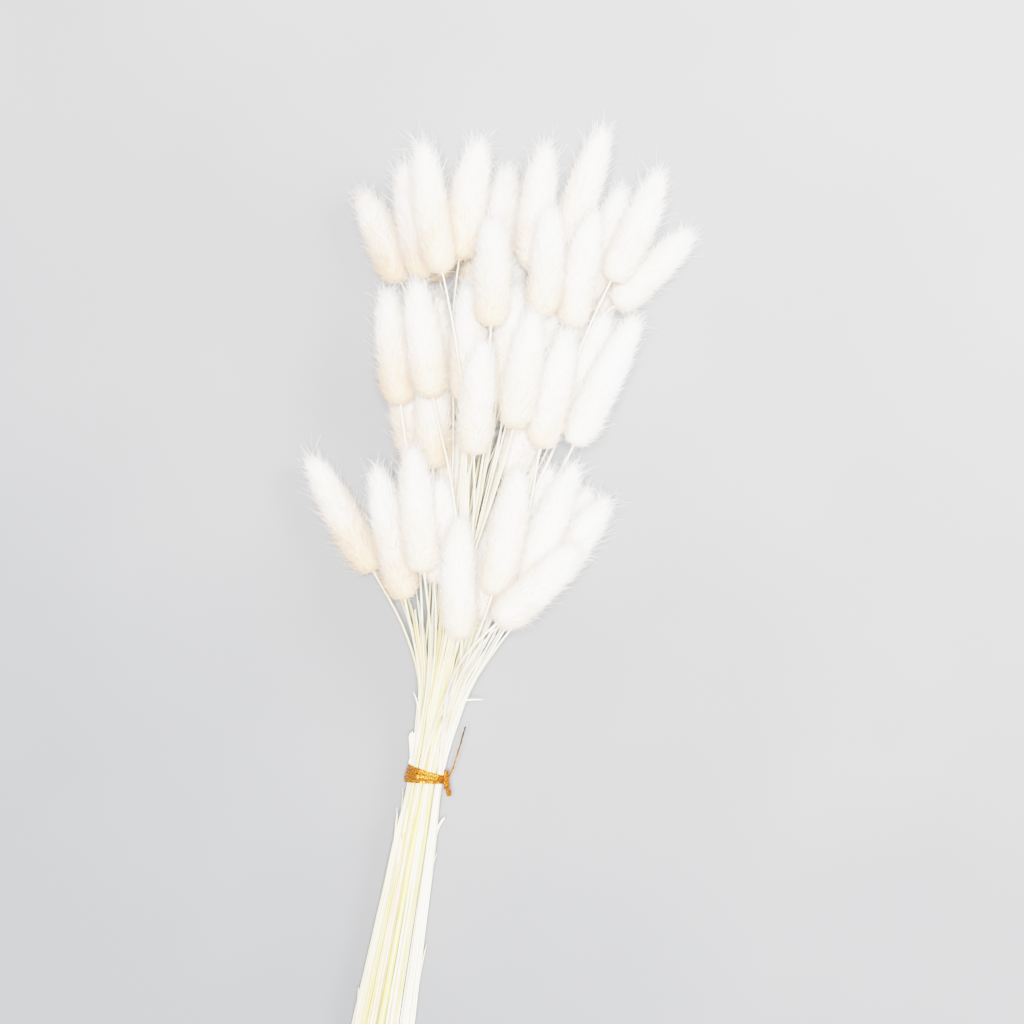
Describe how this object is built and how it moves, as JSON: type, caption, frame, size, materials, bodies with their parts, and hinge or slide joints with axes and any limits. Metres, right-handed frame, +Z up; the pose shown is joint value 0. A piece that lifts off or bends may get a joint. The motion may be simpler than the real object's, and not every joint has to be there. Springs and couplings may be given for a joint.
{
  "type": "dried bunny tail grass",
  "caption": "Bunch of dried, bleached bunny tail grass lying down: soft white oval heads on thin straw stems, held by a twisted gold foil tie.",
  "frame": {"origin": "on the surface, under the middle of the bunch's box", "axes": "+Z up from the surface the bunch lies on, +Y along the stems towards the heads"},
  "size_m": [0.1462, 0.458, 0.0679],
  "materials": {
    "grass_head": "soft hairy bleached seed head",
    "grass_stem": "satin pale straw",
    "gold_foil": "crinkled gold foil"
  },
  "bodies": {
    "root": {"head_01": "grass_head", "head_02": "grass_head", "head_03": "grass_head", "head_04": "grass_head", "head_05": "grass_head", "head_06": "grass_head", "head_07": "grass_head", "head_08": "grass_head", "head_09": "grass_head", "head_10": "grass_head", "head_11": "grass_head", "head_12": "grass_head", "head_13": "grass_head", "head_14": "grass_head", "head_15": "grass_head", "head_16": "grass_head", "head_17": "grass_head", "head_18": "grass_head", "head_19": "grass_head", "head_20": "grass_head", "head_21": "grass_head", "head_22": "grass_head", "head_23": "grass_head", "head_24": "grass_head", "head_25": "grass_head", "head_26": "grass_head", "head_27": "grass_head", "head_28": "grass_head", "head_29": "grass_head", "head_30": "grass_head", "head_31": "grass_head", "head_32": "grass_head", "head_33": "grass_head", "head_34": "grass_head", "head_35": "grass_head", "head_36": "grass_head", "head_37": "grass_head", "head_38": "grass_head", "head_39": "grass_head", "head_40": "grass_head", "head_41": "grass_head", "head_42": "grass_head", "head_43": "grass_head", "head_44": "grass_head", "head_45": "grass_head", "head_46": "grass_head", "head_47": "grass_head", "head_48": "grass_head", "stems_01": "grass_stem", "stems_02": "grass_stem", "stems_03": "grass_stem", "stems_04": "grass_stem", "stems_05": "grass_stem", "stems_06": "grass_stem", "stems_07": "grass_stem", "stems_08": "grass_stem", "stems_09": "grass_stem", "stems_10": "grass_stem", "twist_tie": "gold_foil"}
  },
  "joints": []
}
